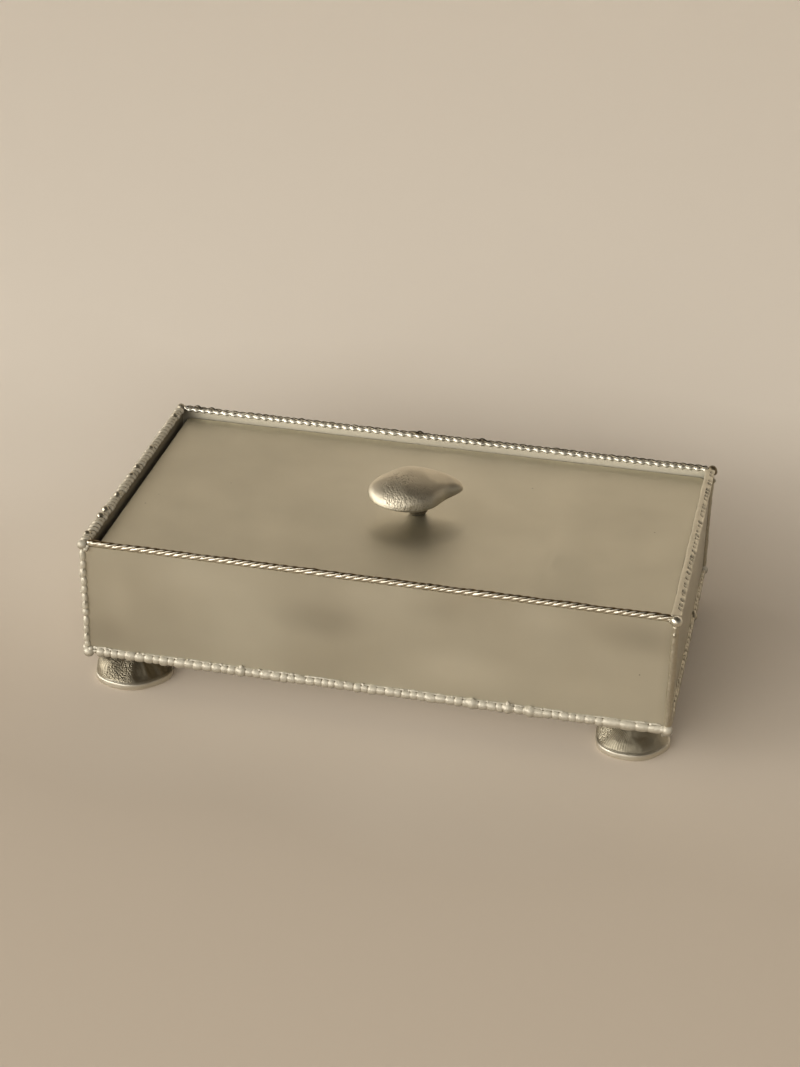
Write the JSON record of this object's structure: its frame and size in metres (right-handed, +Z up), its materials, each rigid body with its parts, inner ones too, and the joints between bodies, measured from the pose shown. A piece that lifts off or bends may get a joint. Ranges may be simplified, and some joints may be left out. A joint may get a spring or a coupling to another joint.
{
  "type": "trinket box",
  "caption": "Shallow rectangular metal trinket box with roped and beaded solder edges, pebble feet and a loose inset lid that lifts off by a cast pebble knob.",
  "frame": {"origin": "on the floor, under the middle of the tray", "axes": "+X along the length, -Y towards the front, +Z up"},
  "size_m": [0.2551, 0.147, 0.083],
  "materials": {
    "satin_sheet": "satin tinned sheet, softly blotched",
    "bright_solder": "bright hand-laid tin solder",
    "cast_pewter": "polished cast pewter with pits and grain"
  },
  "bodies": {
    "box": {"base_panel": "satin_sheet", "front_wall": "satin_sheet", "back_wall": "satin_sheet", "left_wall": "satin_sheet", "right_wall": "satin_sheet", "lid_ledge_front": "satin_sheet", "lid_ledge_back": "satin_sheet", "rim_rope_front": "bright_solder", "rim_rope_back": "bright_solder", "rim_bead_left": "bright_solder", "rim_band_right": "bright_solder", "base_bead_front": "bright_solder", "base_bead_right": "bright_solder", "base_bead_back": "bright_solder", "base_bead_left": "bright_solder", "corner_seam_front_left": "bright_solder", "corner_seam_front_right": "bright_solder", "corner_seam_back_right": "bright_solder", "corner_seam_back_left": "bright_solder", "rim_ball_front_left": "bright_solder", "rim_ball_front_right": "bright_solder", "rim_ball_back_right": "bright_solder", "rim_ball_back_left": "bright_solder", "base_ball_front_left": "bright_solder", "base_ball_front_right": "bright_solder", "base_ball_back_right": "bright_solder", "base_ball_back_left": "bright_solder", "foot_front_left": "cast_pewter", "foot_front_right": "cast_pewter", "foot_back_right": "cast_pewter", "foot_back_left": "cast_pewter", "foot_solder_front_left": "bright_solder", "foot_solder_front_right": "bright_solder", "foot_solder_back_right": "bright_solder", "foot_solder_back_left": "bright_solder"},
    "lid": {"lid_panel": "satin_sheet", "knob_neck": "cast_pewter", "lid_knob": "cast_pewter"}
  },
  "joints": [
    {"name": "lid_lift", "type": "slide", "parent": "box", "child": "lid", "axis": [0, 0, 1], "range_m": [0, 0.07]}
  ]
}
